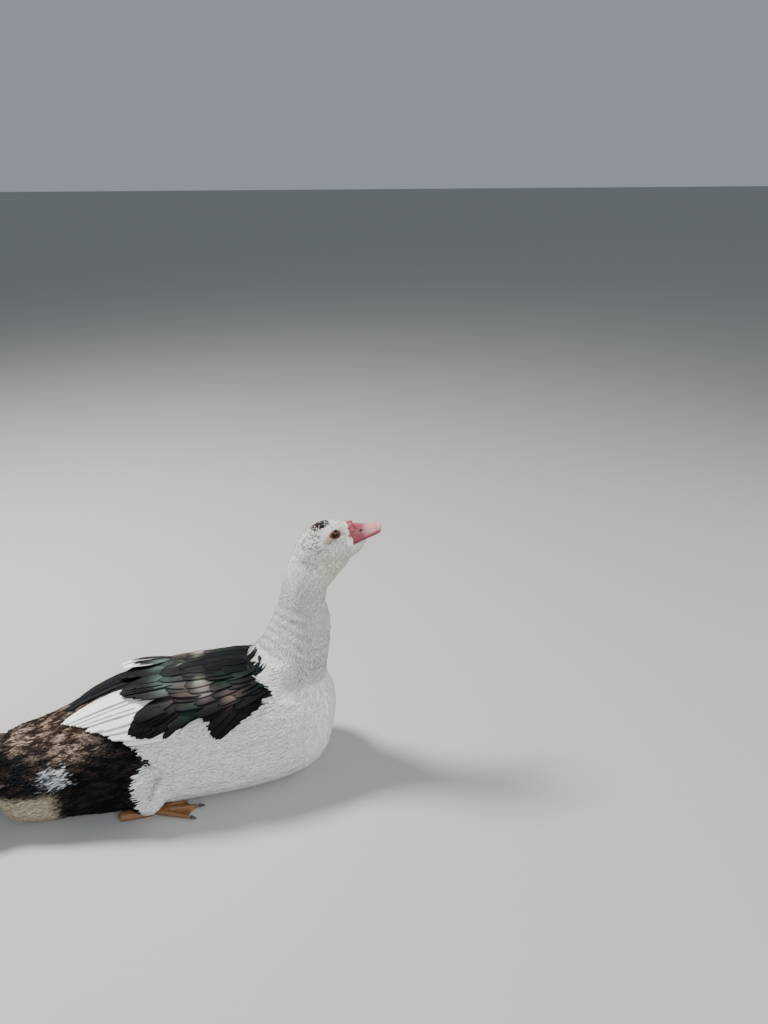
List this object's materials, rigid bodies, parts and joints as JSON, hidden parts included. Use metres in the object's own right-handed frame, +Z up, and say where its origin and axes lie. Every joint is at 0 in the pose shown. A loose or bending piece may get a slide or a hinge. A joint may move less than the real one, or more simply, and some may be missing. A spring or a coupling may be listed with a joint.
{
  "type": "muscovy duck",
  "caption": "Still, life-size muscovy duck that sits on the ground with its neck up: white head and neck, red caruncles, dark back, folded wings, tail and webbed feet.",
  "frame": {"origin": "on the ground under the middle of the bird's box", "axes": "+X towards the breast and bill, +Y to the bird's left side, +Z up"},
  "size_m": [0.6294, 0.206, 0.3975],
  "materials": {
    "body_feathers": "small dark body feathers, black to brown, white low on the flank",
    "neck_feathers": "short soft white feathers",
    "head_feathers": "very short white feathers with a dark flecked crown",
    "caruncle_skin": "bare red warty skin, slightly moist",
    "bill_horn": "smooth pink bill skin over horn",
    "eye": "wet brown eye with a dark pupil",
    "wing_feathers": "black feathers with a green sheen, and white flight feathers",
    "thigh_feathers": "soft white feathers",
    "foot_skin": "orange scaly skin",
    "tail_feathers": "brown-black feathers with pale edges"
  },
  "bodies": {
    "root": {"torso": "body_feathers", "neck": "neck_feathers", "head": "head_feathers", "caruncles": "caruncle_skin", "bill_upper": "bill_horn", "bill_lower": "bill_horn", "eye_right": "eye", "eye_left": "eye", "wing_right": "wing_feathers", "wing_left": "wing_feathers", "thigh_right": "thigh_feathers", "thigh_left": "thigh_feathers", "foot_right": "foot_skin", "foot_left": "foot_skin", "tail": "tail_feathers"}
  },
  "joints": []
}
